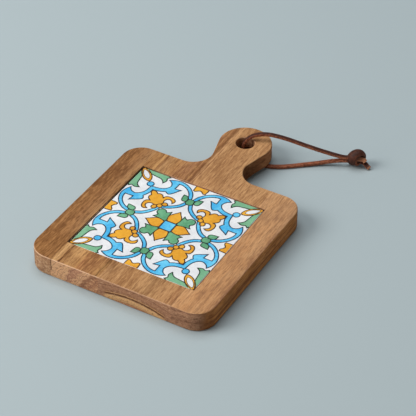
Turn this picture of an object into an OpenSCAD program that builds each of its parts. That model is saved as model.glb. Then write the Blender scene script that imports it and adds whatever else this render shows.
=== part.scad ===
// Handled wooden coaster board with an inlaid ceramic tile and a leather hanging lace.
// The board lies on z = 0, +Y points to the handle, and the origin is under the middle of its length.

/* [Board] */
// Side of the square board
board_side = 140; // [130:1:160]
// Thickness of the board
board_t = 15.5; // [13:0.5:20]
// Radius of the board's four corners in plan
corner_r = 15; // [6:0.5:20]

/* [Staves] */
// Width of the left stave
left_stave_w = 20; // [14:0.5:22]
// Width of the stave between the left one and the handle stave
streaked_stave_w = 38; // [30:0.5:40]
// Width of the right stave
right_stave_w = 26; // [16:0.5:34]

/* [Handle] */
// Length of the handle from the board's back edge to its tip
handle_len = 60; // [54:0.5:75]
// Radius of the handle's round end
handle_end_r = 19.5; // [17:0.25:21]
// Narrowest width of the neck
neck_w = 28; // [22:0.5:32]
// Radius of the fillets between the neck and the board
neck_fillet_r = 15; // [10:0.5:18]
// Diameter of the hole for the lace
hole_d = 14; // [13:0.5:18]
// Depth of the lift under the handle's end, where the lace runs
lift_depth = 2.8; // [2.5:0.1:4]
// How far the lift's flat reaches in front of the hole's axis
lift_reach = 16.5; // [15:0.5:18]
// Length of the slope that leads up to the lift's flat
lift_run = 18; // [8:0.5:18]

/* [Tile] */
// Side of the ceramic tile
tile_side = 97.5; // [90:0.5:105]
// Thickness of the fired clay under the glaze
clay_t = 6; // [4:0.1:7]
// Thickness of the fired glaze
glaze_t = 0.5; // [0.3:0.05:0.8]
// Gap between the tile and the wall of its pocket
tile_gap = 0.5; // [0.2:0.05:1]
// How far the glaze lies below the top of the board
tile_recess = 0.7; // [0.2:0.05:1.5]
// Width of one key groove in the back of the tile
key_w = 6; // [3:0.5:8]
// Depth of the key grooves
key_depth = 0.7; // [0.3:0.1:1.2]
// Spacing of the key grooves
key_pitch = 12; // [9:0.5:16]

/* [Adhesive] */
// Thickness of the adhesive bed under the tile
bed_t = 0.8; // [0.4:0.1:1.5]
// How far the adhesive bed stays back from the tile's edge
bed_inset = 3; // [1:0.5:8]

/* [Lace] */
// Width of the flat leather lace
lace_w = 3.2; // [2.6:0.1:3.6]
// Thickness of the lace
lace_t = 2.2; // [1.6:0.1:2.3]
// Bevel on the edges of the lace
lace_bevel = 0.6; // [0.3:0.05:0.75]
// Length of the knot's core
knot_len = 11; // [9:0.5:14]
// Diameter of the knot's core
knot_core_d = 8.6; // [8:0.1:9.4]
// Diameter of the knot over its two wraps
knot_d = 12.4; // [11:0.1:12.6]
// Diameter of one wrap's round section
wrap_d = 5.2; // [4.6:0.1:5.4]
// Distance between the middles of the two wraps
wrap_pitch = 4.4; // [3.5:0.1:4.8]
// How far the knot sits to one side of the strands
knot_shift = 1.5; // [0:0.1:1.6]

/* [Hidden] */
$fn = 96;
past = 1;

board_len = board_side + handle_len;
tip_y = board_len / 2;
back_y = tip_y - handle_len;
tile_y = back_y - board_side / 2;
hole_y = tip_y - handle_end_r;

// Glue lines between the staves
glue_left = -board_side / 2 + left_stave_w;
glue_middle = glue_left + streaked_stave_w;
glue_right = board_side / 2 - right_stave_w;

// Straight stretch of the neck, tangent to the round end and to the fillet
fillet_x = neck_w / 2 + neck_fillet_r;
fillet_y = back_y + neck_fillet_r;
fillet_off = [fillet_x, fillet_y - hole_y];
neck_turn = atan2(fillet_off[1], fillet_off[0])
    + acos((handle_end_r + neck_fillet_r) / norm(fillet_off));
neck_dir = [cos(neck_turn), sin(neck_turn)];
neck_top = [0, hole_y] + handle_end_r * neck_dir;
neck_foot = [fillet_x, fillet_y] - neck_fillet_r * neck_dir;

// Lift under the handle's end, where its slope starts and ends
lift_end = hole_y - lift_reach;
lift_start = lift_end - lift_run;

// Heights of the tile's layers
glaze_top = board_t - tile_recess;
clay_top = glaze_top - glaze_t;
clay_foot = clay_top - clay_t;
pocket_floor = clay_foot - bed_t;
pocket_side = tile_side + 2 * tile_gap;
bed_side = tile_side - 2 * bed_inset;
key_count = floor((tile_side - key_w) / key_pitch);

// Route of the lace from the knot over the handle, down the hole and back under the handle.
// Points are measured from the foot of the hole's axis.
lace_route = [
    [68.4, 31.5, 7.8], [65.2, 30, 7.9], [59, 27.3, 9.4], [48, 23, 12.5], [37, 19, 15.8],
    [26, 15.5, 18.8], [16.5, 12, 20.8], [10.5, 9.4, 21.2], [5.8, 7, 20.5], [2, 5, 18.6],
    [-0.8, 3.7, 15.8], [-2.7, 2.7, 12], [-3.2, 2.1, 8.5], [-2.6, 1.7, 5.4],
    [-0.6, 1.4, 2.7], [2.6, 1, 1.5], [7, 0.5, 1.3], [14, -0.2, 1.3], [21, 1, 1.3],
    [30, 6, 1.4], [40, 14, 1.6], [49.5, 21.3, 2.2], [59, 27.3, 3.8], [65.2, 30, 4.8], [68.4, 31.5, 4.9]
];
// The strands part at this point of the route, low in the hole
lace_part = 13;
// Rings between two points of the route
lace_steps = 2;
// Height of the knot's axis
knot_z = 6.35;
// Tails, measured along the knot, across it and up from the middle of its end
short_tail = [[0, -2, 1.1], [0.9, -2, 1.1], [2.2, -2.2, 0.5]];
long_tail = [[0, -1.4, -2], [0.9, -1.4, -2], [2, -2.1, -2.9], [3.4, -3.6, -4.2], [4.6, -4.8, -4.8]];

knot_start = lace_route[0];
knot_dir = unit([knot_start[0] - lace_route[1][0], knot_start[1] - lace_route[1][1], 0]);
knot_turn = atan2(knot_dir[1], knot_dir[0]);
// The lace keeps its width square to this direction's vertical plane
lace_side = [-knot_dir[1], knot_dir[0], 0];
knot_middle = [knot_start[0], knot_start[1], knot_z] + knot_dir * knot_len / 2 + lace_side * knot_shift;
knot_end = knot_middle + knot_dir * knot_len / 2;

function unit(v) = v / norm(v);

// Points on a smooth curve through the route
function blend_point(p, i, u) =
    let (a = p[max(i - 1, 0)], b = p[i], c = p[i + 1], d = p[min(i + 2, len(p) - 1)])
    (2 * b + (c - a) * u + (2 * a - 5 * b + 4 * c - d) * u * u
        + (3 * b - a - 3 * c + d) * u * u * u) / 2;
function curve(p, steps) = concat(
    [for (i = [0 : len(p) - 2]) for (k = [0 : steps - 1]) blend_point(p, i, k / steps)],
    [p[len(p) - 1]]);

// Direction of travel at each point, square to the knot where the lace meets it
function heading(p, first, last) = [for (i = [0 : len(p) - 1])
    i == 0 ? first : i == len(p) - 1 ? last : unit(p[i + 1] - p[i - 1])];

// Flat section of the lace with bevelled edges
lace_section = let (w = lace_w / 2, t = lace_t / 2, b = lace_bevel)
    [[w, b - t], [w, t - b], [w - b, t], [b - w, t], [-w, t - b], [-w, b - t], [b - w, -t], [w - b, -t]];
function lace_ring(point, travel) =
    let (side = unit(lace_side - (lace_side * travel) * travel), up = cross(travel, side))
    [for (s = lace_section) point + s[0] * side + s[1] * up];
function lace_rings(p, h) = [for (i = [0 : len(p) - 1]) lace_ring(p[i], h[i])];

lace_path = curve(lace_route, lace_steps);
lace_all = lace_rings(lace_path, heading(lace_path, -knot_dir, knot_dir));
split = lace_part * lace_steps;

// Plan of the whole board with its handle
module board_plan() {
    inner = board_side - 2 * corner_r;
    difference() {
        union() {
            translate([0, tile_y]) {
                square([inner, board_side], center = true);
                square([board_side, inner], center = true);
                for (x = [-1, 1], y = [-1, 1]) translate([x, y] * inner / 2) circle(corner_r);
            }
            translate([0, hole_y]) circle(handle_end_r);
            polygon([[-fillet_x, back_y - past], [fillet_x, back_y - past], [fillet_x, back_y], neck_foot,
                neck_top, [-neck_top[0], neck_top[1]], [-neck_foot[0], neck_foot[1]], [-fillet_x, back_y]]);
        }
        for (x = [-1, 1]) translate([x * fillet_x, fillet_y]) circle(neck_fillet_r);
    }
}

// Pocket that takes the tile and its adhesive
module tile_pocket() {
    translate([-pocket_side / 2, tile_y - pocket_side / 2, pocket_floor])
        cube([pocket_side, pocket_side, board_t]);
}

// Hole for the lace, and the lift under the handle's end where the lace runs out
module lace_way() {
    translate([0, hole_y, -past]) cylinder(h = board_t + 2 * past, d = hole_d);
    rotate([90, 0, 90]) linear_extrude(2 * fillet_x, center = true)
        polygon([[lift_start, -past], [lift_start, 0], [lift_end, lift_depth], [tip_y + past, lift_depth],
            [tip_y + past, -past]]);
}

// One stave of the board, cut from x0 to x1
module stave(x0, x1) {
    difference() {
        intersection() {
            linear_extrude(board_t) board_plan();
            translate([x0, -board_len / 2 - past, -past])
                cube([x1 - x0, board_len + 2 * past, board_t + 2 * past]);
        }
        tile_pocket();
        lace_way();
    }
}

module left_stave() {
    color("saddlebrown") stave(-board_side / 2 - past, glue_left);
}

module streaked_stave() {
    color("peru") stave(glue_left, glue_middle);
}

module handle_stave() {
    color("burlywood") stave(glue_middle, glue_right);
}

module right_stave() {
    color("tan") stave(glue_right, board_side / 2 + past);
}

module adhesive_bed() {
    color("gainsboro") translate([-bed_side / 2, tile_y - bed_side / 2, pocket_floor])
        cube([bed_side, bed_side, bed_t]);
}

module tile_clay() {
    color("antiquewhite") difference() {
        translate([-tile_side / 2, tile_y - tile_side / 2, clay_foot])
            cube([tile_side, tile_side, clay_t]);
        for (i = [0 : key_count - 1])
            translate([(i - (key_count - 1) / 2) * key_pitch - key_w / 2, tile_y - tile_side / 2 - past,
                clay_foot - past])
                cube([key_w, tile_side + 2 * past, key_depth + past]);
    }
}

module tile_glaze() {
    color("white") translate([-tile_side / 2, tile_y - tile_side / 2, clay_top])
        cube([tile_side, tile_side, glaze_t]);
}

// Closed tube through a row of rings
module lace_tube(rings) {
    sides = len(rings[0]);
    last = len(rings) - 1;
    points = [for (r = rings) each r];
    walls = [for (i = [0 : last - 1]) for (k = [0 : sides - 1])
        let (a = i * sides + k, b = i * sides + (k + 1) % sides)
        each [[a, a + sides, b], [b, a + sides, b + sides]]];
    caps = [for (k = [1 : sides - 2]) each
        [[0, k, k + 1], [last * sides, last * sides + k + 1, last * sides + k]]];
    translate([0, hole_y, 0]) polyhedron(points, concat(walls, caps));
}

module lace_upper_strand() {
    color("sienna") lace_tube([for (i = [0 : split]) lace_all[i]]);
}

module lace_lower_strand() {
    color("sienna") lace_tube([for (i = [split : len(lace_all) - 1]) lace_all[i]]);
}

// Two wraps over the core that both strands run into
module lace_knot() {
    color("maroon") translate([0, hole_y, 0] + knot_middle) rotate([0, 90, knot_turn]) {
        cylinder(h = knot_len, d = knot_core_d, center = true);
        for (s = [-1, 1])
            translate([0, 0, s * wrap_pitch / 2])
                rotate_extrude() translate([(knot_d - wrap_d) / 2, 0]) circle(d = wrap_d);
    }
}

// Short end of the lace beyond the knot
module lace_tail(points) {
    path = curve([for (p = points) knot_end + p[0] * knot_dir + p[1] * lace_side + [0, 0, p[2]]], lace_steps);
    last = len(path) - 1;
    lace_tube(lace_rings(path, heading(path, knot_dir, unit(path[last] - path[last - 1]))));
}

module lace_short_tail() {
    color("sienna") lace_tail(short_tail);
}

module lace_long_tail() {
    color("sienna") lace_tail(long_tail);
}

left_stave();
streaked_stave();
handle_stave();
right_stave();
adhesive_bed();
tile_clay();
tile_glaze();
lace_upper_strand();
lace_lower_strand();
lace_knot();
lace_short_tail();
lace_long_tail();
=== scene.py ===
import math

import bmesh
import bpy
import numpy as np
from mathutils import Matrix, Vector


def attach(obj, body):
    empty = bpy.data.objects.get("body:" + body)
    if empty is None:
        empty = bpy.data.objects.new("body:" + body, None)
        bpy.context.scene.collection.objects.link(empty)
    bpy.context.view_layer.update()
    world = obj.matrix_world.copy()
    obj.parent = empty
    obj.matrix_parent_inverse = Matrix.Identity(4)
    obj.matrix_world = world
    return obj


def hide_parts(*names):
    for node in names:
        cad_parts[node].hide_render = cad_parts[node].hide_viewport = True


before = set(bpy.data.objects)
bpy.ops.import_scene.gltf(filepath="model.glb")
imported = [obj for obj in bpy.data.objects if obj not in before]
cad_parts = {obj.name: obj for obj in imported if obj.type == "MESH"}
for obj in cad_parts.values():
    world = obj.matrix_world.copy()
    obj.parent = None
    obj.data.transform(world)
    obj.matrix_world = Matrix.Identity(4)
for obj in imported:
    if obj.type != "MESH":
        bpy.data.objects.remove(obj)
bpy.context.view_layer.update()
mm = 0.001

# Places that several pieces share, in mm
tileCentre = (0.0, -30.0)
holeCentre = (0.0, 80.5)
boardThick = 15.5
handleLift = 2.8  # handle's underside above the table


def addObject(name, data):
    made = bpy.data.objects.new(name, data)
    bpy.context.scene.collection.objects.link(made)
    return made


# Camera at the photograph's viewing angle
view = {
    "eye": (479.845, -822.238, 768.549),  # mm
    "aim": (4.765, 17.626, 0.0),
    "roll": 0.518,  # degrees
    "lens": 150.72, "sensor": 36.0,
    "clip": (0.05, 20.0),  # m
}


def placeCamera(v):
    eye = Vector(v["eye"]) * mm
    back = (eye - Vector(v["aim"]) * mm).normalized()
    level = Vector((0, 0, 1)).cross(back).normalized()
    turn = Matrix.Rotation(math.radians(v["roll"]), 3, back)
    right = turn @ level
    up = back.cross(right)
    data = bpy.data.cameras.new("board_camera")
    data.sensor_width = v["sensor"]
    data.lens = v["lens"]
    data.clip_start, data.clip_end = v["clip"]
    made = addObject("board_camera", data)
    made.matrix_world = Matrix((right, up, back)).transposed().to_4x4()
    made.location = eye
    bpy.context.scene.camera = made


placeCamera(view)
print("stage: camera placed")


# Shader expressions
def operator(operation, reflected=False):
    def act(wire, other=0.0):
        pair = (other, wire) if reflected else (wire, other)
        return wire.finish.maths(operation, *pair)
    return act


class Wire:
    # A socket. An expression on it adds a Math node, or Vector Math for a vector and Mix for a colour.
    def __init__(self, finish, socket):
        self.finish = finish
        self.socket = socket

    __add__, __radd__ = operator("ADD"), operator("ADD", True)
    __sub__, __rsub__ = operator("SUBTRACT"), operator("SUBTRACT", True)
    __mul__, __rmul__ = operator("MULTIPLY"), operator("MULTIPLY", True)
    __truediv__ = operator("DIVIDE")
    __pow__ = operator("POWER")
    __abs__ = operator("ABSOLUTE")


def linear(rgb):
    # sRGB from 0 to 255 to a linear colour
    c = np.array(rgb, float) / 255
    c = np.where(c <= 0.04045, c / 12.92, ((c + 0.055) / 1.055) ** 2.4)
    return (*c.tolist(), 1.0)


class Finish:
    # One material with a Principled shader, and the nodes that feed it
    def __init__(self, name):
        self.material = bpy.data.materials.new(name)
        self.material.use_nodes = True
        self.tree = self.material.node_tree
        self.shader = self.tree.nodes["Principled BSDF"]
        self.place = self.node("TexCoord", {}, {}, "Object")

    def plug(self, socket, value):
        if isinstance(value, Wire):
            self.tree.links.new(value.socket, socket)
        else:
            socket.default_value = value

    def node(self, kind, settings, inputs, out=0):
        made = self.tree.nodes.new("ShaderNode" + kind)
        for key, value in settings.items():
            if key == "stops":
                elements = made.color_ramp.elements
                while len(elements) < len(value):
                    elements.new(0.5)
                for element, (position, colour) in zip(elements, value):
                    element.position = position
                    element.color = colour
            else:
                setattr(made, key, value)
        for key, value in inputs.items():
            self.plug(made.inputs[key], value)
        return Wire(self, made.outputs[out])

    def millimetres(self):
        return self.place * (1000, 1000, 1000)

    def split(self, vector):
        x = self.node("SeparateXYZ", {}, {"Vector": vector}, "X")
        return [x] + [Wire(self, x.socket.node.outputs[key]) for key in ("Y", "Z")]

    def maths(self, operation, a, b):
        kinds = [w.socket.type for w in (a, b) if isinstance(w, Wire)]
        if "VECTOR" in kinds:
            return self.node("VectorMath", {"operation": operation}, {0: a, 1: b})
        if "RGBA" in kinds:
            settings = {"data_type": "RGBA", "blend_type": operation}
            return self.node("Mix", settings, {0: 1.0, 6: a, 7: b}, 2)
        return self.node("Math", {"operation": operation}, {0: a, 1: b})

    def mix(self, factor, a, b):
        # A colour is a wire, a linear colour of four values, or sRGB of three
        a, b = (linear(c) if isinstance(c, tuple) and len(c) == 3 else c for c in (a, b))
        return self.node("Mix", {"data_type": "RGBA"}, {0: factor, 6: a, 7: b}, 2)

    def paint(self, base, layers):
        for factor, colour in layers:
            base = self.mix(factor, base, colour)
        return base

    def smooth(self, value, low, high):
        # 0 below low, 1 above high, and a smooth step between
        inputs = {"Value": value, "From Min": low, "From Max": high}
        return self.node("MapRange", {"interpolation_type": "SMOOTHSTEP"}, inputs)

    def noise(self, place, scale, detail=2.0, rough=0.5):
        inputs = {"Vector": place, "Scale": scale, "Detail": detail, "Roughness": rough}
        return self.node("TexNoise", {}, inputs)

    def noiseOn(self, value, scale, detail=2.0):
        inputs = {"W": value, "Scale": scale, "Detail": detail}
        return self.node("TexNoise", {"noise_dimensions": "1D"}, inputs)

    def ramp(self, value, stops):
        return self.node("ValToRGB", {"stops": stops}, {"Fac": value})

    def bump(self, height, strength, distance):
        inputs = {"Height": height, "Strength": strength, "Distance": distance}
        return self.node("Bump", {}, inputs)

    def feed(self, **sockets):
        names = {"base": "Base Color", "rough": "Roughness", "normal": "Normal",
                 "specular": "Specular IOR Level", "coat": "Coat Weight", "coatRough": "Coat Roughness"}
        for key, value in sockets.items():
            self.plug(self.shader.inputs[names[key]], value)


# Mesh helpers. A mesh is its vertices in mm and a list of arrays of faces, one face to a row.
def addPiece(name, vertices, faces, finish, body, smooth=True):
    data = bpy.data.meshes.new(name)
    data.from_pydata(vertices * mm, [], [face for rows in faces for face in rows.tolist()])
    data.update()
    data.validate()
    if smooth:
        data.shade_smooth()
    else:
        data.shade_flat()
    data.materials.append(finish.material)
    made = addObject(name, data)
    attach(made, body)
    return made


def joined(meshes):
    # Several meshes as one: the faces of each count on from the vertices before them
    starts = np.cumsum([0] + [len(vertices) for vertices, _ in meshes])
    faces = [rows + start for (_, each), start in zip(meshes, starts) for rows in each]
    return np.vstack([vertices for vertices, _ in meshes]), faces


def curveThrough(points, steps):
    # Catmull-Rom: a cubic between each two points, its slopes taken from their neighbours
    p = np.asarray(points, float)
    q = np.vstack([p[:1], p, p[-1:]])
    i = np.repeat(np.arange(len(p) - 1), steps)
    u = np.tile(np.arange(steps) / steps, len(p) - 1)[:, None]
    a, b, c, d = q[i], q[i + 1], q[i + 2], q[i + 3]
    square = 2 * a - 5 * b + 4 * c - d
    cube = 3 * b - a - 3 * c + d
    made = (2 * b + (c - a) * u + square * u ** 2 + cube * u ** 3) / 2
    return np.vstack([made, p[-1:]])


def unit(v):
    return v / np.linalg.norm(v, axis=-1, keepdims=True)


def headings(path):
    # Direction of travel along a path
    return unit(np.gradient(path, axis=0))


def gridFaces(rows, columns, closedRows=False):
    # Quads of a grid whose columns close on themselves
    r = np.arange(rows if closedRows else rows - 1)
    a = (r[:, None] * columns + np.arange(columns)).ravel()
    b = (r[:, None] * columns + (np.arange(columns) + 1) % columns).ravel()
    n = rows * columns
    return np.stack([a, b, (b + columns) % n, (a + columns) % n], 1)


def solidFaces(rows, columns):
    # A grid of rings, with one face under its first ring and one over its last
    ring = np.arange(columns)
    return [gridFaces(rows, columns), np.stack([ring[::-1], ring + (rows - 1) * columns])]


# Leather of the lace
def leatherFinish(name, look):
    f = Finish(name)
    reads = ("along", "grain", "cut")
    along, grain, cut = (f.node("Attribute", {"attribute_name": key}, {}, "Fac") for key in reads)
    p = f.millimetres()
    broad = f.noise(p, look["broadScale"], 3)
    patchy = f.noise(p, look["patchScale"], 3, 0.6)
    fine = f.noise(p, look["fineScale"], 4, 0.6)
    crease = f.smooth(f.noiseOn(along, look["creaseScale"], 3), 0.56, 0.7)
    face = f.mix(f.smooth(broad, 0.3, 0.7), look["faceDark"], look["face"])
    side = f.mix(f.smooth(patchy, 0.36, 0.62), look["sideDark"], look["side"])
    fibre = f.mix(f.smooth(fine, 0.35, 0.65), look["cutDark"], look["cut"])
    base = f.paint(side, [(grain, face), (crease * look["creaseDepth"], look["crease"]), (cut, fibre)])
    rough = look["rough"] + 0.22 * fine + 0.25 * cut
    bump = f.bump(fine * 0.6 + crease * -0.5, 0.6, 0.00012)
    f.feed(base=base, rough=rough, normal=bump, specular=look["specular"])
    return f


leather = leatherFinish("lace_leather", {
    "face": (88, 50, 38), "faceDark": (52, 28, 20),
    "side": (170, 103, 73), "sideDark": (112, 60, 41),
    "crease": (42, 24, 19), "creaseDepth": 0.35,
    "cut": (224, 160, 120), "cutDark": (174, 108, 78),
    "broadScale": 0.35, "patchScale": 0.8, "fineScale": 3.2, "creaseScale": 1.6,  # noise steps per mm
    "rough": 0.42, "specular": 0.16,
})

# Lace
lace = {
    # Route of the solids, in mm from the foot of the hole's axis
    "route": [
        (68.4, 31.5, 7.8), (65.2, 30, 7.9), (59, 27.3, 9.4), (48, 23, 12.5), (37, 19, 15.8),
        (26, 15.5, 18.8), (16.5, 12, 20.8), (10.5, 9.4, 21.2), (5.8, 7, 20.5), (2, 5, 18.6),
        (-0.8, 3.7, 15.8), (-2.7, 2.7, 12), (-3.2, 2.1, 8.5), (-2.6, 1.7, 5.4),
        (-0.6, 1.4, 2.7), (2.6, 1, 1.5), (7, 0.5, 1.3), (14, -0.2, 1.3), (21, 1, 1.3),
        (30, 6, 1.4), (40, 14, 1.6), (49.5, 21.3, 2.2), (59, 27.3, 3.8), (65.2, 30, 4.8), (68.4, 31.5, 4.9),
    ],
    "part": 13,  # the strands part at this point, low in the hole
    "width": 3.2, "thick": 2.2,
    "edge": 0.62, "turnEdge": 0.7,  # rounding of the section
    "endShare": 0.86, "endReach": 0.12,  # size of the small ring that closes an end, and how far out it lies
    # Share of the half thickness where the face's dark starts, and over which it grows
    "faceFrom": 0.55, "faceOver": 0.4,
    "steps": 10,
    "knotHeight": 6.35, "knotLength": 11.0,
    "knotShift": 1.5,  # to one side of the strands
    "knotLean": 47.0,  # degrees that the knot's turns face to the front
    # Turns of the knot: degrees from the front over the top, place along the axis, radius, width, thickness
    "turnSteps": 8,
    "hood": [(-140, -0.7, 1.4, 4.4, 2.2), (-105, -0.9, 2.6, 5.6, 2.2), (-65, -1.0, 3.3, 7.0, 2.3),
             (-20, -0.8, 3.9, 7.8, 2.3), (20, -0.3, 4.2, 8.2, 2.3), (60, 0.5, 4.6, 8.2, 2.3),
             (95, 1.2, 5.0, 8.0, 2.3), (130, 1.6, 5.0, 7.6, 2.3), (170, 1.7, 4.5, 7.0, 2.3),
             (210, 1.5, 3.7, 6.0, 2.3), (240, 1.2, 2.9, 5.0, 2.2), (265, 0.9, 2.0, 4.2, 2.2)],
    "coil": [(-175, 1.6, 1.4, 2.4, 2.2), (-130, 2.1, 2.6, 2.6, 2.2), (-90, 2.5, 3.2, 2.8, 2.2),
             (-45, 2.8, 3.4, 2.8, 2.2), (0, 2.8, 3.3, 2.8, 2.2), (45, 2.6, 3.0, 2.6, 2.2),
             (80, 2.2, 2.3, 2.4, 2.2), (110, 1.6, 1.4, 2.4, 2.2)],
    "hoodCrown": 1.4, "coilCrown": 0.2,  # how far the middle of the lace stands out over its edges
    "hoodDark": 0.85, "coilDark": 0.15,  # how far the dark of the face runs over the edges; on the hood this is painted shade on its rim
    # Packed lace inside the knot: half length, width, fullness, thickness as a share of the width
    "bulgeHalf": 3.6, "bulgeWidth": 7.6, "bulgePower": 0.55, "bulgeFlat": 0.95,
    "bulgeEdge": 1.05, "bulgeDark": 0.85,
    # Tails: along the knot, across it and up from its middle
    "shortTail": [(0.4, -3.2, 2.0), (2.8, -2.8, 1.4), (5.5, -2.3, 0.6), (6.2, -2.5, 0.1),
                  (6.9, -2.8, -0.7)],
    "longTail": [(1.2, 0.2, -1.0), (3.4, -1.2, -1.8), (5.5, -1.6, -2.3), (6.4, -1.8, -2.6),
                 (7.5, -2.5, -3.3), (8.9, -3.7, -4.3), (10.1, -4.8, -4.8)],
    "tailSteps": 7,
    "shortTwist": (40, 40),  # degrees that each tail's face turns to the front, at its start and its end
    "longTwist": (55, 30),
    "shortPale": (9.0, 1.0),  # length of each tail over which it pales towards its cut end, and how much
    "longPale": (1.2, 0.5),
}
route = np.array(lace["route"]) + (*holeCentre, 0.0)
knotDir = unit((route[0] - route[1]) * (1, 1, 0))
laceSide = np.array([-knotDir[1], knotDir[0], 0])
upward = np.array([0, 0, 1.0])


def laceSection(width, thick, edge):
    # Closed ring: a quarter round at each corner, points across each wide face, one on each narrow face
    turn = np.radians(np.linspace(0, 90, 5))
    corner = np.stack([np.cos(turn), np.sin(turn)], 1) * edge
    w, t = width / 2 - edge, thick / 2 - edge
    first = corner + (w, t)
    second = np.stack([-first[::-1, 0], first[::-1, 1]], 1)
    across = np.linspace(w, -w, 7)[1:-1]
    face = np.stack([across, np.full_like(across, thick / 2)], 1)
    top = np.vstack([first, face, second])
    narrow = np.array([[-width / 2, 0]])
    return np.vstack([top, narrow, -top, -narrow])


def sweptLace(path, travel, side, width=lace["width"], thick=lace["thick"], edge=lace["edge"],
              pale=None, edgeDark=0.0, crown=0.0, hair=0):
    # The section is carried along the path, its width along side made square to travel, its thickness along
    # their cross product. A crown bends its middle out, and each end closes over a smaller ring. hair tells
    # which wide face is dark: 1 the outer, -1 the inner, 0 both.
    n = len(path)
    fullWidth, fullThick = lace["width"], lace["thick"]
    travel, side = (np.broadcast_to(v, path.shape) for v in (travel, side))
    flat = unit(side - np.sum(side * travel, 1, keepdims=True) * travel)
    up = np.cross(travel, flat)
    ring = laceSection(fullWidth, fullThick, edge)
    scaleW = (np.ones(n) * width / fullWidth)[:, None, None]
    scaleT = (np.ones(n) * thick / fullThick)[:, None, None]
    bend = crown * (1 - (ring[None, :, :1] / (fullWidth / 2)) ** 2)
    rings = path[:, None] + ring[None, :, :1] * scaleW * flat[:, None]
    rings = rings + (ring[None, :, 1:] * scaleT + bend) * up[:, None]
    first, last = (path[k] + (rings[k] - path[k]) * lace["endShare"] + travel[k] * out * lace["endReach"]
                   for k, out in ((0, -1), (-1, 1)))
    vertices = np.concatenate([first[None], rings, last[None]]).reshape(-1, 3)
    m = len(ring)
    along = np.concatenate([[0], np.cumsum(np.linalg.norm(np.diff(path, axis=0), axis=1))])
    along = np.concatenate([along[:1], along, along[-1:]])
    outward = (ring[:, 1] * hair if hair else np.abs(ring[:, 1])) / (fullThick / 2)
    grain = np.maximum(np.clip((outward - lace["faceFrom"]) / lace["faceOver"], 0, 1), edgeDark)
    cut = np.zeros((n + 2, m))
    if pale:
        length, most = pale
        cut += np.clip(1 - (along[-1] - along) / length, 0, 1)[:, None] * most
        cut[-1] = 1
    values = {"along": np.repeat(along, m), "grain": np.tile(grain, n + 2), "cut": cut.ravel()}
    return (vertices, solidFaces(n + 2, m)), values


def addLace(name, parts):
    # Several swept laces in one piece, with the values that the leather reads
    vertices, faces = joined([mesh for mesh, _ in parts])
    made = addPiece(name, vertices, faces, leather, "lace")
    for key in ("along", "grain", "cut"):
        value = np.concatenate([values[key] for _, values in parts])
        layer = made.data.attributes.new(key, "FLOAT", "POINT")
        layer.data.foreach_set("value", value.astype(np.float32))
    return made


def buildStrands():
    whole = curveThrough(route, lace["steps"])
    travel = headings(whole)
    travel[0], travel[-1] = -knotDir, knotDir  # straight into the knot
    split = lace["part"] * lace["steps"]
    spans = {"lace_strand_upper": slice(0, split + 1), "lace_strand_lower": slice(split, None)}
    made = []
    for name, span in spans.items():
        part = sweptLace(whole[span], travel[span], laceSide, hair=-1)
        made.append((addLace(name, [part]), whole[span]))
    return made


def knotTurn(kind, middle, axes):
    # A lace wound about the knot's axis: its angle, place and radius run on a smooth curve
    fine = curveThrough(lace[kind], lace["turnSteps"])
    angle = np.radians(fine[:, 0])
    out = np.stack([np.zeros_like(angle), -np.cos(angle), np.sin(angle)], 1)
    local = fine[:, 1:2] * (1, 0, 0) + out * fine[:, 2:3]
    path = middle + local @ axes
    travel = headings(path)
    side = np.cross(out @ axes, travel)
    return sweptLace(path, travel, side, fine[:, 3], fine[:, 4], lace["turnEdge"],
                     edgeDark=lace[kind + "Dark"], crown=lace[kind + "Crown"])


def knotBulge(middle, axes):
    # A closed bulge: its width is a power of the sine from one end to the other
    t = np.linspace(0, np.pi, 15)[1:-1]
    line = middle + axes[0] * (-np.cos(t) * lace["bulgeHalf"])[:, None]
    swell = np.sin(t) ** lace["bulgePower"] * lace["bulgeWidth"]
    return sweptLace(line, axes[0], axes[1], swell, swell * lace["bulgeFlat"], lace["bulgeEdge"],
                     edgeDark=lace["bulgeDark"])


def knotEntry(level, hair):
    # A strand runs on into the knot
    half = lace["knotLength"] / 2
    reach = np.linspace(0, half, 8)[:, None]
    line = route[0] * (1, 1, 0) + upward * level + knotDir * reach
    line = line + laceSide * lace["knotShift"] * reach / half
    return sweptLace(line, knotDir, laceSide, hair=hair)


def buildTail(kind, middle):
    points = middle + np.array(lace[kind + "Tail"]) @ np.array([knotDir, laceSide, upward])
    line = curveThrough(points, lace["tailSteps"])
    twist = np.radians(np.linspace(*lace[kind + "Twist"], len(line)))[:, None]
    side = laceSide * np.cos(twist) + upward * np.sin(twist)
    return addLace("lace_tail_" + kind, [sweptLace(line, headings(line), side, pale=lace[kind + "Pale"])])


def buildKnot():
    # The lace spreads into a wide hood, a second turn is tucked into it, and packed lace fills the inside
    middle = route[0] * (1, 1, 0) + upward * lace["knotHeight"]
    middle = middle + knotDir * (lace["knotLength"] / 2) + laceSide * lace["knotShift"]
    lean = math.radians(lace["knotLean"])
    axis = knotDir * math.cos(lean) - laceSide * math.sin(lean)
    axes = np.array([axis, np.cross(upward, axis), upward])
    parts = [knotTurn(kind, middle, axes) for kind in ("hood", "coil")]
    parts.append(knotBulge(middle, axes))
    parts += [knotEntry(route[0][2], 1), knotEntry(route[-1][2], -1)]
    tied = addLace("lace_knot_tied", parts)
    return tied, buildTail("short", middle), buildTail("long", middle)


(upperStrand, upperPath), (lowerStrand, lowerPath) = buildStrands()
knot, shortTail, longTail = buildKnot()
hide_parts("lace_upper_strand")
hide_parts("lace_lower_strand")
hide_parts("lace_knot")
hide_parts("lace_short_tail")
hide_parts("lace_long_tail")
print("stage: lace tied")


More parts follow.
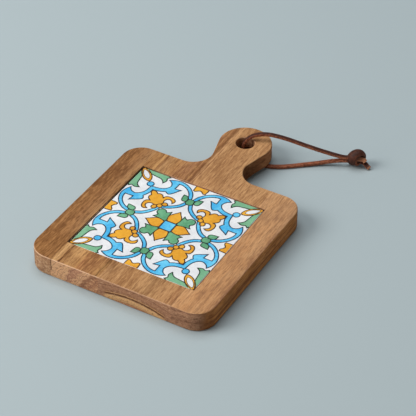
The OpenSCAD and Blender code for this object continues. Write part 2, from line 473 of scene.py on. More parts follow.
# Oiled hardwood
woodGrain = {
    # Noise steps per mm along x, y and z, shift of its origin, detail and roughness
    "drift": ((0.03, 0.012, 0.03), None, 2, 0.5),
    "wander": ((0.16, 0.03, 0.16), None, 3, 0.5),
    "seam": ((0.2, 0.01, 0.34), (1.7, 4.2, 6.3), 4, 0.6),
    "figure": ((0.085, 0.036, 0.085), None, 4, 0.55),
    "streak": ((0.5, 0.02, 0.5), (3.1, 7.7, 1.9), 4, 0.6),
    "fibre": ((1.5, 0.14, 1.5), None, 3, 0.6),
    "fleck": ((1.25, 0.17, 1.25), (9.3, 2.2, 5.1), 3, 0.6),
    "patch": ((0.14, 0.14, 0.2), (4.0, 1.0, 8.0), 3, 0.6),
    "mottle": ((0.42, 0.42, 0.6), None, 5, 0.68),
    "speck": ((1.5, 1.5, 1.5), None, 3, 0.6),
}
marks = {
    "neckShadeSpan": (60.0, 84.0),  # y over which the painted shade on the handle's sides fades towards its end
    "pocketEnd": (48.9, 49.5),  # distance along y from the tile's middle over which the painted shadow on the pocket's rim ends
    "crackFoot": (4.0, 8.0),  # height over which an open joint begins to show
    "crackWaver": 8.0,
    # How strongly each mark shows
    "wall": 0.95, "seam": 0.7, "wallDry": 0.7, "fibre": 0.4, "paintedSheen": 0.05,
    "mottle": 0.6, "arcs": 0.55, "speck": 0.5, "crack": 0.7, "pocketShade": 0.9,
    "highlightAlong": 0.16, "highlightAcross": 0.59, "specular": 0.03,
}


def grainNoise(f, p, key):
    steps, shift, detail, rough = woodGrain[key]
    place = p * steps
    if shift:
        place = place + shift
    return f.noise(place, 1.0, detail, rough)


def zoneRamp(f, value, zones):
    # Each zone is a place in mm and its sRGB colour
    first, last = zones[0][0], zones[-1][0]
    stops = [((at - first) / (last - first), linear(rgb)) for at, *rgb in zones]
    return f.ramp((value - first) / (last - first), stops)


def longGrain(f, look, noise, x, y, level, wall):
    # Zones of colour at x in mm, drawn out along the stave, then figure, streaks, fibres and pore flecks
    layer = x + (noise["drift"] - 0.5) * look["drift"] + (noise["wander"] - 0.5) * look["wander"]
    base = zoneRamp(f, layer, look["zones"])
    base = f.mix(f.smooth(y, *look["blend"]), base, zoneRamp(f, layer, look["backZones"]))
    plain = look["wall"]
    if "wallFar" in look:  # painted shade: the handle's sides are darker at the neck than at its end
        plain = f.mix(f.smooth(y, *marks["neckShadeSpan"]), plain, look["wallFar"])
    base = f.mix(wall * marks["wall"], base, plain)
    seam = f.smooth(noise["seam"], 0.46, 0.64)
    base = f.mix(wall * seam * marks["seam"], base, look["wallDark"])
    dry = 1.0 - wall * marks["wallDry"]
    return f.paint(base, [
        (f.smooth(noise["figure"], 0.5, 0.68) * look["figure"], look["shade"]),
        (f.smooth(0.5 - noise["figure"], 0.0, 0.18) * look["figure"] * dry, look["glow"]),
        (f.smooth(noise["streak"], 0.5, 0.66) * look["streak"], look["shade"]),
        (f.smooth(0.5 - noise["streak"], 0.02, 0.16) * look["streak"] * 0.8 * dry, look["glow"]),
        (f.smooth(noise["fibre"], 0.48, 0.66) * marks["fibre"], look["shade"]),
        (noise["pores"] * look["poreDepth"], look["pore"]),
        (f.smooth(0.5 - noise["fleck"], 0.02, 0.16) * look["fleck"] * dry, look["glow"]),
        (f.smooth(level, 0.8, 0.98) * marks["paintedSheen"], look["paintedSheen"]),  # painted sheen on the upper face: a pale wash in place of a soft reflection
    ])


def sawnEnd(f, look, noise, x, z):
    # Rings of colour at a distance in mm from the pith, then blotches, arcs and pore dots
    px, pz = look["pith"]
    radius = ((x - px) ** 2.0 + (z - pz) ** 2.0) ** 0.5 + (noise["patch"] - 0.5) * look["patch"]
    cut = zoneRamp(f, radius, look["rings"])
    if "ringSpan" in look:  # the rings show between these places, and fade into a plain brown
        a, b, c, d = look["ringSpan"]
        cut = f.mix(f.smooth(x, a, b) * (1.0 - f.smooth(x, c, d)), look["endPlain"], cut)
    return f.paint(cut, [
        (f.smooth(noise["mottle"], 0.5, 0.66) * marks["mottle"], look["endDark"]),
        (f.smooth(0.5 - noise["mottle"], 0.02, 0.15) * marks["mottle"], look["endLight"]),
        (f.smooth(f.noiseOn(radius, 1.2, 4), 0.52, 0.62) * marks["arcs"], look["endDark"]),
        (f.smooth(noise["speck"], 0.52, 0.66) * marks["speck"], look["endDark"]),
    ])


def woodFinish(name, look):
    f = Finish(name)
    p = f.millimetres()
    x, y, z = f.split(p)
    _, facing, level = f.split(f.node("TexCoord", {}, {}, "Normal"))
    facing = abs(facing)
    noise = {key: grainNoise(f, p, key) for key in woodGrain}
    noise["pores"] = f.smooth(noise["fleck"], 0.5, 0.66)
    end = f.smooth(facing, 0.5, 0.85)
    upright = 1.0 - f.smooth(abs(level), 0.2, 0.7)
    base = longGrain(f, look, noise, x, y, level, (1.0 - end) * upright)
    base = f.mix(end, base, sawnEnd(f, look, noise, x, z))
    if "corner" in look:  # painted shade, darker where the side turns into the end
        turned = f.smooth(facing, 0.1, 0.4) * (1.0 - f.smooth(facing, 0.65, 0.95)) * upright
        base = f.mix(turned * look["corner"], base, look["wallDark"])
    if "crack" in look:  # an open joint shows dark on the end, from the top down
        at, reach, colour = look["crack"]
        waver = (noise["patch"] - 0.5) * marks["crackWaver"]
        gap = 1.0 - f.smooth(abs(x - at), reach * 0.4, reach)
        gap = gap * f.smooth(z + waver, *marks["crackFoot"])
        base = f.mix(gap * end * marks["crack"], base, colour)
    if "gap" in look:  # painted shadow darkens the rim of the pocket beside the tile
        at, reach, colour = look["gap"]
        beside = 1.0 - f.smooth(abs(y - tileCentre[1]), *marks["pocketEnd"])
        pocketShade = (1.0 - f.smooth(abs(x - at), reach * 0.5, reach)) * beside
        base = f.mix(pocketShade * marks["pocketShade"], base, colour)
    # Painted highlight on the rounded upper edges, partly real wear: paler wood there, more of it on the
    # sawn ends
    edge = f.smooth(level, 0.1, 0.3) * (1.0 - f.smooth(level, 0.85, 0.99))
    wornHighlight = marks["highlightAlong"] + marks["highlightAcross"] * f.smooth(facing, 0.2, 0.6)
    base = f.mix(edge * f.smooth(noise["mottle"], 0.36, 0.54) * wornHighlight * look["wearHighlight"], base, look["wornHighlight"])
    height = noise["pores"] * -0.8 + noise["fibre"] * 0.4 + noise["streak"] * 0.3
    height = height + end * noise["speck"] * 0.8
    rough = 0.58 + 0.14 * noise["pores"] + 0.1 * noise["fibre"]
    f.feed(base=base, rough=rough, normal=f.bump(height, 0.35, 0.00012), specular=marks["specular"])
    return f


staveLooks = {
    "left_stave": {
        "wearHighlight": 1.0,
        "drift": 2.0, "wander": 2.0, "figure": 0.5, "streak": 0.5, "poreDepth": 0.58, "fleck": 0.44,
        "zones": [(-70, 120, 80, 46), (-67, 137, 93, 55), (-60, 145, 100, 60), (-55, 146, 101, 61),
                  (-51, 140, 96, 57), (-50, 126, 85, 50)],
        "backZones": [(-70, 126, 86, 53), (-67, 139, 96, 60), (-60, 144, 100, 64), (-55.5, 162, 118, 80),
                      (-52.5, 168, 126, 87), (-50, 178, 137, 96)],
        "blend": (-84.0, -50.0),
        "shade": (110, 71, 42), "glow": (188, 138, 88), "pore": (92, 57, 32),
        "wall": (150, 100, 58), "wallDark": (96, 60, 36),
        "pith": (-58, 6), "patch": 5.0,
        "rings": [(0, 206, 162, 122), (3, 164, 122, 92), (6, 200, 156, 117), (9, 164, 121, 89),
                  (14, 191, 147, 110), (24, 184, 141, 104)],
        "endLight": (226, 190, 156), "endDark": (112, 78, 60),
        "wornHighlight": (226, 186, 152), "paintedSheen": (150, 110, 70),
    },
    "streaked_stave": {
        "wearHighlight": 1.0,
        "drift": 1.2, "wander": 1.0, "figure": 0.36, "streak": 0.44, "poreDepth": 0.52, "fleck": 0.4,
        "zones": [(-50, 100, 63, 38), (-49.5, 122, 80, 49), (-48.9, 216, 168, 114), (-46, 218, 172, 119),
                  (-44.7, 190, 143, 95), (-44, 98, 59, 36), (-43.1, 86, 51, 31), (-42.5, 172, 124, 79),
                  (-41.8, 198, 149, 98), (-37, 214, 165, 111), (-31.5, 210, 158, 103),
                  (-29.5, 172, 119, 78), (-24, 153, 105, 69), (-17, 149, 102, 67), (-15.6, 154, 108, 70),
                  (-15, 112, 72, 44), (-14.6, 70, 41, 25), (-13.8, 72, 43, 26), (-13.3, 118, 78, 49),
                  (-12.7, 132, 90, 57), (-12, 140, 96, 61)],
        "backZones": [(-50, 152, 106, 66), (-43.5, 156, 110, 69), (-42.8, 198, 150, 98),
                      (-41.3, 194, 146, 94), (-40.6, 152, 107, 70), (-37.5, 190, 146, 102),
                      (-33, 180, 135, 91), (-29, 188, 138, 91), (-24, 162, 115, 81), (-18, 161, 114, 81),
                      (-16, 119, 79, 52), (-15, 167, 119, 82), (-13.4, 124, 82, 55), (-12, 110, 72, 48)],
        # gap: painted shadow on the pocket's rim beside the tile
        "blend": (-60.0, 0.0), "gap": (-49.4, 0.62, (26, 16, 10)),
        "shade": (118, 76, 44), "glow": (206, 156, 100), "pore": (98, 62, 38),
        "wall": (150, 100, 58), "wallDark": (96, 60, 36),
        "pith": (34, -37), "patch": 7.0,
        "rings": [(58, 188, 136, 101), (68.5, 180, 128, 94), (70.5, 146, 100, 74), (72.2, 164, 116, 86),
                  (73.2, 210, 160, 120), (77.3, 214, 163, 122), (78.6, 184, 132, 102), (83, 190, 138, 107),
                  (84.2, 218, 167, 124), (92, 222, 171, 128), (100, 212, 162, 122)],
        "endLight": (236, 192, 146), "endDark": (122, 84, 68),
        "wornHighlight": (230, 190, 156), "paintedSheen": (170, 130, 88),
        "crack": (-49.4, 0.7, (58, 36, 24)),
    },
    "handle_stave": {
        "wearHighlight": 0.6,
        "drift": 1.2, "wander": 1.0, "figure": 0.5, "streak": 0.44, "poreDepth": 0.56, "fleck": 0.4,
        "zones": [(-14, 142, 98, 63), (-12, 144, 99, 63), (-11.4, 152, 107, 69), (-10.6, 114, 75, 47),
                  (-9.8, 158, 112, 73), (-8.7, 112, 74, 46), (-7.8, 152, 108, 69), (-2, 165, 119, 77),
                  (4, 174, 126, 81), (11, 172, 125, 81), (17, 154, 111, 72), (24, 155, 114, 75),
                  (30, 170, 125, 83), (35, 187, 139, 94), (38.8, 180, 132, 88), (40.6, 162, 112, 73),
                  (43.2, 158, 108, 71), (44, 132, 89, 58)],
        "backZones": [(-20, 170, 123, 82), (-15, 164, 116, 77), (-13.8, 118, 76, 48),
                      (-12.8, 156, 109, 72), (-11.6, 124, 82, 52), (-10.8, 200, 152, 106),
                      (-10, 150, 104, 68), (-9.2, 200, 152, 106), (-8.2, 170, 125, 83), (-2, 179, 131, 87),
                      (5, 174, 127, 84), (12, 184, 137, 93), (20, 187, 139, 94), (30, 183, 136, 92),
                      (38, 194, 146, 100), (44, 186, 137, 92)],
        "blend": (-60.0, 0.0),
        "shade": (136, 92, 56), "glow": (212, 164, 114), "pore": (114, 74, 46),
        # wall: painted shade, dark at the neck; wallFar is the lighter colour at the handle's end
        "wall": (88, 38, 12), "wallFar": (190, 127, 86), "wallDark": (60, 27, 11),
        "pith": (13.2, -67.9), "patch": 1.6,
        "rings": [(60, 181, 124, 90), (69.5, 187, 128, 94), (70.8, 212, 163, 113), (74.6, 224, 175, 121),
                  (75.1, 101, 64, 41), (75.9, 109, 70, 45), (76.4, 207, 154, 107), (77, 195, 144, 101),
                  (77.5, 131, 91, 65), (78.1, 172, 124, 93), (84, 175, 127, 96)],
        "ringSpan": (-8.5, -5.5, 36.0, 42.0), "endPlain": (176, 128, 97),
        "endLight": (210, 168, 132), "endDark": (108, 74, 60),
        "wornHighlight": (228, 188, 154), "paintedSheen": (190, 164, 134),
    },
    "right_stave": {
        # corner: painted shade where the side turns into the end
        "wearHighlight": 0.35, "corner": 0.45,
        "drift": 1.2, "wander": 1.2, "figure": 0.48, "streak": 0.4, "poreDepth": 0.44, "fleck": 0.32,
        "zones": [(44, 196, 144, 93), (50, 192, 138, 86), (56, 194, 139, 87), (62, 192, 138, 87),
                  (67, 184, 131, 82), (70, 130, 85, 52)],
        "backZones": [(44, 198, 147, 97), (50, 192, 142, 92), (56, 200, 149, 98), (62, 194, 144, 96),
                      (67, 184, 135, 89), (70, 136, 92, 60)],
        # gap: painted shadow on the pocket's rim beside the tile
        "blend": (-20.0, 20.0), "gap": (49.35, 0.5, (98, 64, 40)),
        "shade": (136, 92, 56), "glow": (212, 164, 114), "pore": (114, 74, 46),
        "wall": (202, 134, 76), "wallDark": (108, 60, 37),
        "pith": (60, -60), "patch": 3.0,
        "rings": [(56, 168, 121, 93), (62, 180, 133, 102), (68, 160, 115, 88), (72, 182, 135, 104),
                  (76, 162, 117, 90), (84, 168, 123, 96)],
        "endLight": (190, 148, 116), "endDark": (92, 62, 48),
        "wornHighlight": (220, 178, 142), "paintedSheen": (206, 204, 206),
    },
}
rounding = {
    "width": 1.5,  # mm, the widest rounding; the others are shares of it
    "top": 0.48, "bottom": 0.8, "hole": 0.45, "pocket": 0.12,
    "segments": 4,
    "pocketHalf": 49.25,
    "holeReach": 7.1,  # the hole's radius, with slack
    "glueLines": (-50.0, -12.0, 44.0),
    "near": 0.02,
    "mergeWithin": 2e-6,  # m
    "flatAngle": 0.004,  # radians
    "sharpAngle": 0.6,
}


def edgeShares(mesh, sharp, r):
    # Share of the widest rounding that each edge gets, told from where the edge lies
    points = np.array([v.co for v in mesh.vertices]) / mm
    ends = points[np.array([e.vertices[:] for e in mesh.edges])]
    middle = ends.mean(1)
    near = r["near"]
    glued = np.any([np.all(np.abs(ends[:, :, 0] - line) < near, axis=1) for line in r["glueLines"]], axis=0)
    inPocket = np.all(np.abs(middle[:, :2] - tileCentre) < r["pocketHalf"] + near, axis=1)
    atHole = np.all(np.linalg.norm(ends[:, :, :2] - holeCentre, axis=2) < r["holeReach"], axis=1)
    atTop = np.abs(middle[:, 2] - boardThick) < near
    atFoot = middle[:, 2] < handleLift + near
    share = np.zeros(len(ends))
    share[atTop] = r["top"]
    share[atFoot] = r["bottom"]
    share[atHole] = r["hole"]
    share[inPocket] = 0
    share[inPocket & atTop] = r["pocket"]
    share[glued | ~sharp] = 0
    return share


def roundedStave(node, look, r):
    # A merged copy of the stave's solid: flat faces are made whole, then its outer edges are rounded
    work = bmesh.new()
    work.from_mesh(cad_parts[node].data)
    bmesh.ops.remove_doubles(work, verts=work.verts, dist=r["mergeWithin"])
    bmesh.ops.dissolve_limit(work, angle_limit=r["flatAngle"], verts=work.verts, edges=work.edges)
    data = bpy.data.meshes.new(node + "_wood")
    sharp = np.array([e.calc_face_angle(0.0) > r["sharpAngle"] for e in work.edges])
    work.to_mesh(data)
    work.free()
    data.shade_smooth()
    share = edgeShares(data, sharp, r)
    data.attributes.new("bevel_weight_edge", "FLOAT", "EDGE").data.foreach_set("value", share)
    data.attributes.new("sharp_edge", "BOOLEAN", "EDGE").data.foreach_set("value", sharp & (share == 0))
    data.materials.append(woodFinish(node + "_grain", look).material)
    made = addObject(node + "_wood", data)
    bevel = made.modifiers.new("rounded edges", "BEVEL")
    bevel.width = r["width"] * mm
    bevel.limit_method = "WEIGHT"
    bevel.segments = r["segments"]
    bevel.harden_normals = True
    bevel.miter_outer = "MITER_SHARP"
    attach(made, "board")
    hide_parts(node)


for node, look in staveLooks.items():
    roundedStave(node, look, rounding)
print("stage: staves rounded")


# Tile: clay, adhesive, glaze and enamels
tile = {
    "half": 48.75,
    "reach": 48.4,  # the ornament runs out to here
    "corner": 0.9,
    "foot": 14.3, "top": 14.8,
    "round": 0.5, "roundSteps": 6,
    "fill": 0.09,  # height of an enamel above the glaze
    "fillSink": 0.06,
    "line": 0.14,  # height of a drawn line
    "lineSink": 0.05,
    "lineHalf": 0.44, "fineHalf": 0.25,
    "fillRise": [(0.0, 0.55), (-0.02, 0.85), (-0.05, 1.0)],  # shift in mm, share of the height
    "lineRise": [(0.92, 0.6), (0.5, 0.95)],  # share of the half width, share of the height
    "layer": 0.035,  # height that each layer adds
    "steps": 5,
    "paler": (44.0, 58.0),  # distance from the middle over which an enamel pales, and how much
    "palerBy": 0.5,
}


def clayFinish(name, light, dark, size):
    f = Finish(name)
    p = f.millimetres()
    grain = f.noise(p, size, 5, 0.65)
    speck = f.smooth(f.noise(p, size * 3.0, 2), 0.62, 0.7)
    base = f.mix(f.smooth(grain, 0.3, 0.7), dark, light)
    base = f.mix(speck * 0.4, base, dark)
    f.feed(base=base, rough=0.82 + 0.1 * grain, normal=f.bump(grain - speck * 0.4, 0.5, 0.0002))
    return f


def glazeFinish(name, light, dark, rough, outer=None):
    # Fired enamel: soft mottling, fine specks and a slight orange peel under a thin clear coat. An outer
    # colour is mixed in far from the middle.
    f = Finish(name)
    p = f.millimetres()
    pool = f.noise(p, 0.09, 3)
    wash = f.noise(p, 0.55, 4, 0.6)
    speck = f.smooth(f.noise(p, 2.6, 3, 0.6), 0.58, 0.72)
    base = f.mix(f.smooth(pool * 0.6 + wash * 0.4, 0.36, 0.66), dark, light)
    if outer:
        x, y, _ = f.split(p)
        away = ((x - tileCentre[0]) ** 2.0 + (y - tileCentre[1]) ** 2.0) ** 0.5
        base = f.mix(f.smooth(away, *tile["paler"]) * tile["palerBy"], base, outer)
    base = f.mix(speck * 0.28, base, dark)
    bump = f.bump(f.noise(p, 0.7, 2) + speck * 0.15, 0.25, 0.00012)
    f.feed(base=base, rough=rough + 0.1 * wash, normal=bump, specular=0.25, coat=0.06, coatRough=0.2)
    return f


enamels = {
    "white": glazeFinish("glaze_white", (240, 241, 243), (222, 224, 228), 0.38),
    "blue": glazeFinish("enamel_blue", (114, 210, 246), (64, 174, 230), 0.4),
    "green": glazeFinish("enamel_green", (120, 184, 142), (84, 152, 110), 0.4, (142, 192, 156)),
    "ochre": glazeFinish("enamel_ochre", (238, 176, 54), (218, 150, 36), 0.4),
    "blueLine": glazeFinish("line_blue", (34, 70, 100), (24, 48, 72), 0.44),
    "greenLine": glazeFinish("line_green", (34, 64, 46), (22, 44, 32), 0.44),
    "ochreLine": glazeFinish("line_ochre", (92, 56, 24), (62, 38, 18), 0.44),
}
clay = clayFinish("tile_clay_body", (226, 205, 180), (196, 170, 142), 0.8)
adhesive = clayFinish("tile_adhesive", (196, 192, 184), (160, 156, 148), 1.4)
for node, finish in (("tile_clay", clay), ("adhesive_bed", adhesive)):
    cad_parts[node].data.materials.clear()
    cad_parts[node].data.materials.append(finish.material)


def quarterTurns(outline):
    turns = [(1, 0), (0, 1), (-1, 0), (0, -1)]
    return [outline @ np.array([[a, b], [-b, a]], float) for a, b in turns]


def buildGlaze():
    # A rounded square is carried up a quarter round, in rings, and closed over the top and under the foot
    h, c = tile["half"], tile["corner"]
    turn = np.radians(np.linspace(0, 90, 7))
    arc = np.stack([np.cos(turn), np.sin(turn)], 1) * c + (h - c)
    ring = np.vstack(quarterTurns(arc))
    lift = np.radians(np.linspace(0, 90, tile["roundSteps"]))[:, None, None]
    scale = 1 - tile["round"] * (1 - np.cos(lift)) / h
    height = tile["foot"] + (tile["top"] - tile["foot"]) * np.sin(lift)
    flat = ring * scale + tileCentre
    rings = np.concatenate([flat, np.broadcast_to(height, flat[:, :, :1].shape)], 2)
    faces = solidFaces(tile["roundSteps"], len(ring))
    made = addPiece("glaze_ground", rings.reshape(-1, 3), faces, enamels["white"], "board")
    for last in (-2, -1):
        made.data.polygons[last].use_smooth = False
    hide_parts("tile_glaze")


buildGlaze()


# Ornament: outlines in mm from the tile's middle. Each run is a smooth curve, and runs meet at corners.
def acrossX(run):
    return run * (1, -1)


def acrossDiagonal(run):
    return run[:, ::-1]


def orient(outline):
    # Turned so that it runs against the clock: its signed area is positive
    after = np.roll(outline, -1, 0)
    area = np.sum(outline[:, 0] * after[:, 1] - outline[:, 1] * after[:, 0])
    return outline if area > 0 else outline[::-1]


def closedOutline(runs):
    # The runs end to end, without the points that fall together where two meet
    line = np.vstack([curveThrough(run, tile["steps"]) for run in runs])
    step = np.linalg.norm(line - np.roll(line, -1, 0), axis=1)
    return orient(line[step > 0.02])


def mirrored(half, flip, smoothEnd=False):
    # Runs and their mirror image, in one run across the middle where that end is smooth
    runs = [np.asarray(run, float) for run in half]
    other = [flip(run[::-1]) for run in runs[::-1]]
    if smoothEnd:
        return runs[:-1] + [np.vstack([runs[-1], other[0][1:]])] + other[1:]
    return runs + other


def ovalOutline(centre, halfX, halfY, points=28, power=2.0):
    # Superellipse: the two coordinates are powers of cosine and sine
    t = np.linspace(0, 2 * np.pi, points, endpoint=False)
    x = np.sign(np.cos(t)) * np.abs(np.cos(t)) ** (2 / power) * halfX
    y = np.sign(np.sin(t)) * np.abs(np.sin(t)) ** (2 / power) * halfY
    return np.stack([x, y], 1) + centre


def bandOutline(points, half):
    # A centre line with an even width to both sides
    line = curveThrough(points, tile["steps"])
    along = headings(line)
    left = np.stack([-along[:, 1], along[:, 0]], 1) * half
    return orient(np.vstack([line + left, (line - left)[::-1]]))


def sideways(outline, reach):
    # Outward direction at each point, lengthened at corners up to a limit
    back = unit(outline - np.roll(outline, 1, 0))
    ahead = unit(np.roll(outline, -1, 0) - outline)
    both = np.stack([back[:, 1] + ahead[:, 1], -back[:, 0] - ahead[:, 0]], 1)
    size = np.linalg.norm(both, axis=1, keepdims=True)
    both = both / np.maximum(size, 1e-6)
    return both * np.minimum(2 / np.maximum(size, 0.05), reach)


def shiftedRings(outline, out, levels):
    # The outline once for each level: moved along its outward direction, and lifted
    flat = [outline + out * shift for shift, _ in levels]
    return np.vstack([np.insert(ring, 2, up, axis=1) for ring, (_, up) in zip(flat, levels)])


def raisedFill(outline, height):
    # The outline rises from inside the glaze, rounds over and closes on top
    levels = [(0.0, -tile["fillSink"])] + [(shift, height * up) for shift, up in tile["fillRise"]]
    return shiftedRings(outline, sideways(outline, reach=3.5), levels), solidFaces(len(levels), len(outline))


def drawnLine(outline, height, w):
    # A low ridge carried round the outline, its foot inside the glaze. It leaves out a side that runs along
    # the tile's edge, and is closed with a face at each end there.
    out = sideways(outline, reach=1.8)
    atEdge = np.abs(outline).max(1) > tile["reach"] - 0.01
    opened = atEdge.sum() > 2
    if opened:
        start = np.flatnonzero(atEdge & ~np.roll(atEdge, -1))[0]
        keep = len(outline) - atEdge.sum() + 2
        outline, out = (np.roll(a, -start, 0)[:keep] for a in (outline, out))
    rise = [(w, -tile["lineSink"])] + [(w * share, height * up) for share, up in tile["lineRise"]]
    levels = rise + [(0.0, height)] + [(-shift, up) for shift, up in rise[::-1]]
    n = len(outline)
    faces = [gridFaces(len(levels), n, True)]
    if opened:
        first = np.arange(len(levels)) * n
        faces = [faces[0][faces[0][:, 0] % n < n - 1], np.stack([first, (first + n - 1)[::-1]])]
    return shiftedRings(outline, out, levels), faces


def addEnamel(name, meshes, finish, smooth):
    vertices, faces = joined(meshes)
    addPiece(name, vertices + (*tileCentre, tile["top"]), faces, finish, "board", smooth)


ornament = {
    "square": 4.4,
    "petal": [
        [(4.9, 0), (4.9, 3.3)],
        [(4.9, 3.3), (7, 4.35), (10.3, 4.75), (13, 3.4), (15.5, 1.4), (17.6, 0)],
    ],
    "trefoil": [
        [(4.5, 4.5), (6.2, 4.2), (8.4, 4.6), (10.5, 5.0), (14.7, 5.2)],
        [(14.7, 5.2), (13.4, 6.5), (12.6, 8.4)],
        [(12.6, 8.4), (14.2, 9.6), (14.8, 11), (14.6, 13), (13.9, 13.9)],
    ],
    "bulb": ((30.3, 0.0), 3.1, 2.9),
    "leaf": [
        [(30.2, 2.6), (29.4, 4.8), (30.2, 6.6), (32.4, 7.3), (35.8, 7.7)],
        [(35.8, 7.7), (35.4, 5), (33.6, 3), (32.6, 2.2)],
        [(32.6, 2.2), (30.2, 2.6)],
    ],
    "innerBand": [(29, 1.5), (27.5, 2.2), (23.5, 4.2), (20, 7.8), (17.6, 11.8), (16.3, 15.2), (15.9, 16.4)],
    "innerHalf": 1.25,
    "scrollOuter": [
        [(32.4, 0.5), (34, 0.8), (38.5, 2.4), (43, 6), (46.3, 11), (47.6, 16.2), (47, 21), (45, 25)],
        [(45, 25), (43.2, 22.2), (39.6, 20.6), (36.4, 22), (34.2, 25), (33.3, 28.6), (32.9, 32.9)],
    ],
    "scrollInner": [
        [(30, 30), (30.2, 26.6), (31.3, 23.2), (32.6, 21)],
        [(32.6, 21), (31.6, 19.6), (31, 18), (31.6, 16.8), (34, 15), (36.6, 13.6), (39, 12)],
        [(39, 12), (38.5, 14.4), (38.2, 16.9)],
        [(38.2, 16.9), (41.5, 16.8), (44.6, 16.8)],
        [(44.6, 16.8), (44.4, 13.6), (42.6, 9.6), (39.4, 6.2), (36, 4.2), (33.4, 3.4), (32, 3.1)],
    ],
    "cornerBead": ((34.7, 34.7), 2.45, 2.45),
    "almond": [(52.4, 0), (53.8, 1.5), (56.4, 2.8), (59.5, 3.2), (62.6, 3.1), (65.5, 2.4), (67.3, 1.2),
               (68.4, 0)],
    "almondHeart": [(55.4, 0), (56.4, 1.0), (58.2, 1.75), (60.2, 1.95), (62.4, 1.8), (64.6, 1.1),
                    (66.6, 0)],
    "cornerLeaf": [
        [(48.4, 46.6), (46.6, 43.6), (45, 40), (44.2, 35.5), (43.5, 31.4), (42, 29.2), (39.9, 27.7)],
        [(39.9, 27.7), (43, 26.6), (45.4, 27.4), (46.3, 27.2), (47.8, 25.9)],
        [(47.8, 25.9), (48.4, 27.5)],
        [(48.4, 27.5), (48.4, 46.6)],
    ],
    "edgeFlower": [
        [(48.4, 0), (48.4, 5)],
        [(48.4, 5), (46.5, 5), (43.4, 4.7)],
        [(43.4, 4.7), (43.2, 3.2), (44.6, 1.4), (45.3, 0)],
    ],
    "lily": [
        [(29.2, 29.2), (27.4, 29.5), (25.6, 28.6), (24.4, 27.6)],
        [(24.4, 27.6), (23, 28.4), (21, 28), (19.6, 26.6), (18.6, 25.2)],
        [(18.6, 25.2), (18, 27.4), (15.8, 28.5), (12.4, 28.3), (9.8, 26.8), (9.3, 24.8), (10.2, 22.9)],
        [(10.2, 22.9), (11.4, 24.9), (13.4, 26), (15.4, 25.2), (16.5, 23.2), (16.2, 21.3), (16, 19.6),
         (17.8, 17.8)],
    ],
    "lilyBeads": [((16.5, 16.5), 1.9, 1.9), ((13.9, 19.4), 2.0, 2.0), ((19.4, 13.9), 2.0, 2.0)],
}


def diagonalOutline(points):
    # Points along and across the corner diagonal, turned by an eighth
    p = np.asarray(points, float)
    half = math.sqrt(0.5)
    turn = np.array([[half, half], [-half, half]])
    return closedOutline([p @ turn, acrossX(p)[::-1] @ turn])


def scrollOutline(o):
    # Outer runs and their mirror image, then inner runs, with a short straight side across each end
    inner = [np.asarray(run, float) for run in o["scrollInner"]]
    runs = mirrored(o["scrollOuter"], acrossDiagonal)
    runs.append(np.array([runs[-1][-1], acrossDiagonal(inner[-1])[-1]]))
    runs += [acrossDiagonal(run[::-1]) for run in inner[::-1]] + inner
    runs.append(np.array([inner[-1][-1], runs[0][0]]))
    return closedOutline(runs)


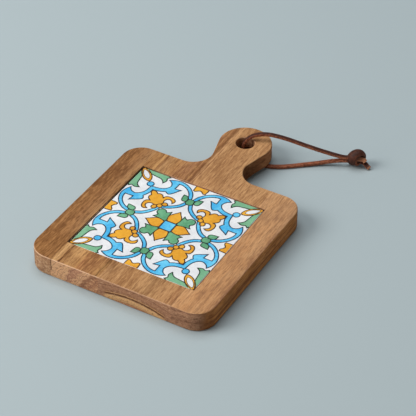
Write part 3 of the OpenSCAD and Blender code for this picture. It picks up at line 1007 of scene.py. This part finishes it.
def buildOrnament(o):
    square = closedOutline(quarterTurns(np.array([(1, -1), (1, 1)]) * o["square"]))
    leaf = closedOutline(o["leaf"])
    band = bandOutline(o["innerBand"], o["innerHalf"])
    cornerLeaf = closedOutline(o["cornerLeaf"])
    # Colour, outlines, and how many layers they lie above the glaze
    motifs = [
        ("blue", [band, orient(acrossDiagonal(band))], 0),
        ("blue", [scrollOutline(o)], 0),
        ("blue", [ovalOutline(*o["cornerBead"])], 1),
        ("green", [closedOutline(mirrored(o["trefoil"], acrossDiagonal, True))], 0),
        ("green", [leaf, orient(acrossX(leaf))], 1),
        ("green", [ovalOutline(*o["bulb"], power=2.6)], 2),
        ("green", [cornerLeaf, orient(acrossDiagonal(cornerLeaf))], 0),
        ("ochre", [closedOutline(mirrored(o["petal"], acrossX))], 1),
        ("ochre", [closedOutline(mirrored(o["edgeFlower"], acrossX))], 0),
        ("ochre", [closedOutline(mirrored(o["lily"], acrossDiagonal))], 0),
        ("ochre", [diagonalOutline(o["almond"])], 1),
    ]
    motifs += [("ochre", [ovalOutline(*bead, 22)], layer) for bead, layer in zip(o["lilyBeads"], (2, 1, 1))]
    fills, lines = {}, {}

    def draw(fillColour, lineColour, outline, layer, half=tile["lineHalf"]):
        lift = layer * tile["layer"]
        fills.setdefault(fillColour, []).append(raisedFill(outline, tile["fill"] + lift))
        lines.setdefault(lineColour, []).append(drawnLine(outline, tile["line"] + lift, half))

    for colour, outlines, layer in motifs:
        for outline in outlines:
            for turned in quarterTurns(outline):
                draw(colour, colour, turned, layer)
    draw("blue", "blue", square, 2)
    for turned in quarterTurns(diagonalOutline(o["almondHeart"])):
        draw("white", "ochre", turned, 2, tile["fineHalf"])
    for colour, meshes in fills.items():
        addEnamel("enamel_" + colour, meshes, enamels[colour], False)
    for colour, meshes in lines.items():
        addEnamel("drawn_line_" + colour, meshes, enamels[colour + "Line"], True)


buildOrnament(ornament)
print("stage: tile painted")

# Floor and light
studio = {
    "floor": (172, 185, 189),
    "floorDark": 0.96,  # darkest share of the floor's tone
    "floorHalf": 3.0,
    "world": (222, 226, 230), "worldLevel": 0.21,
    "lamps": {
        "key_window": {"at": (-1.38, -0.97, 1.38), "size": 1.2, "power": 37, "colour": (1.0, 0.98, 0.95)},
        "top_softbox": {"at": (-0.4, 0.4, 2.0), "size": 1.4, "power": 20.5, "colour": (0.97, 0.99, 1.0)},
        "warm_card": {"at": (1.35, 0.0, 0.35), "size": 0.8, "power": 0.9, "colour": (1.0, 0.8, 0.6)},
        "front_card": {"at": (-0.4, -1.6, 0.4), "size": 1.0, "power": 4.5, "colour": (1.0, 0.95, 0.88)},
    },
}


def addLamp(name, look):
    data = bpy.data.lights.new(name, "AREA")
    data.shape = "SQUARE"
    data.size = look["size"]
    data.energy = look["power"]
    data.color = look["colour"]
    made = addObject(name, data)
    made.location = look["at"]
    made.rotation_mode = "QUATERNION"
    made.rotation_quaternion = (-made.location).to_track_quat("-Z", "Y")


def buildStudio(s):
    f = Finish("studio_floor")
    soft = f.noise(f.place, 1.2, 2)
    tone = linear(s["floor"])
    dark = tuple(np.array(tone) * ([s["floorDark"]] * 3 + [1]))
    f.feed(base=f.mix(soft * 0.12, tone, dark), rough=0.85, specular=0.1)
    h = s["floorHalf"]
    data = bpy.data.meshes.new("studio_floor")
    data.from_pydata([(-h, -h, 0), (h, -h, 0), (h, h, 0), (-h, h, 0)], [], [(0, 1, 2, 3)])
    data.materials.append(f.material)
    floor = addObject("studio_floor", data)
    world = bpy.data.worlds.new("studio_air")
    bpy.context.scene.world = world
    world.use_nodes = True
    sky = world.node_tree.nodes["Background"]
    sky.inputs["Color"].default_value = linear(s["world"])
    sky.inputs["Strength"].default_value = s["worldLevel"]
    for name, look in s["lamps"].items():
        addLamp(name, look)
    bpy.context.scene.view_settings.view_transform = "Standard"


buildStudio(studio)
print("stage: studio lit")
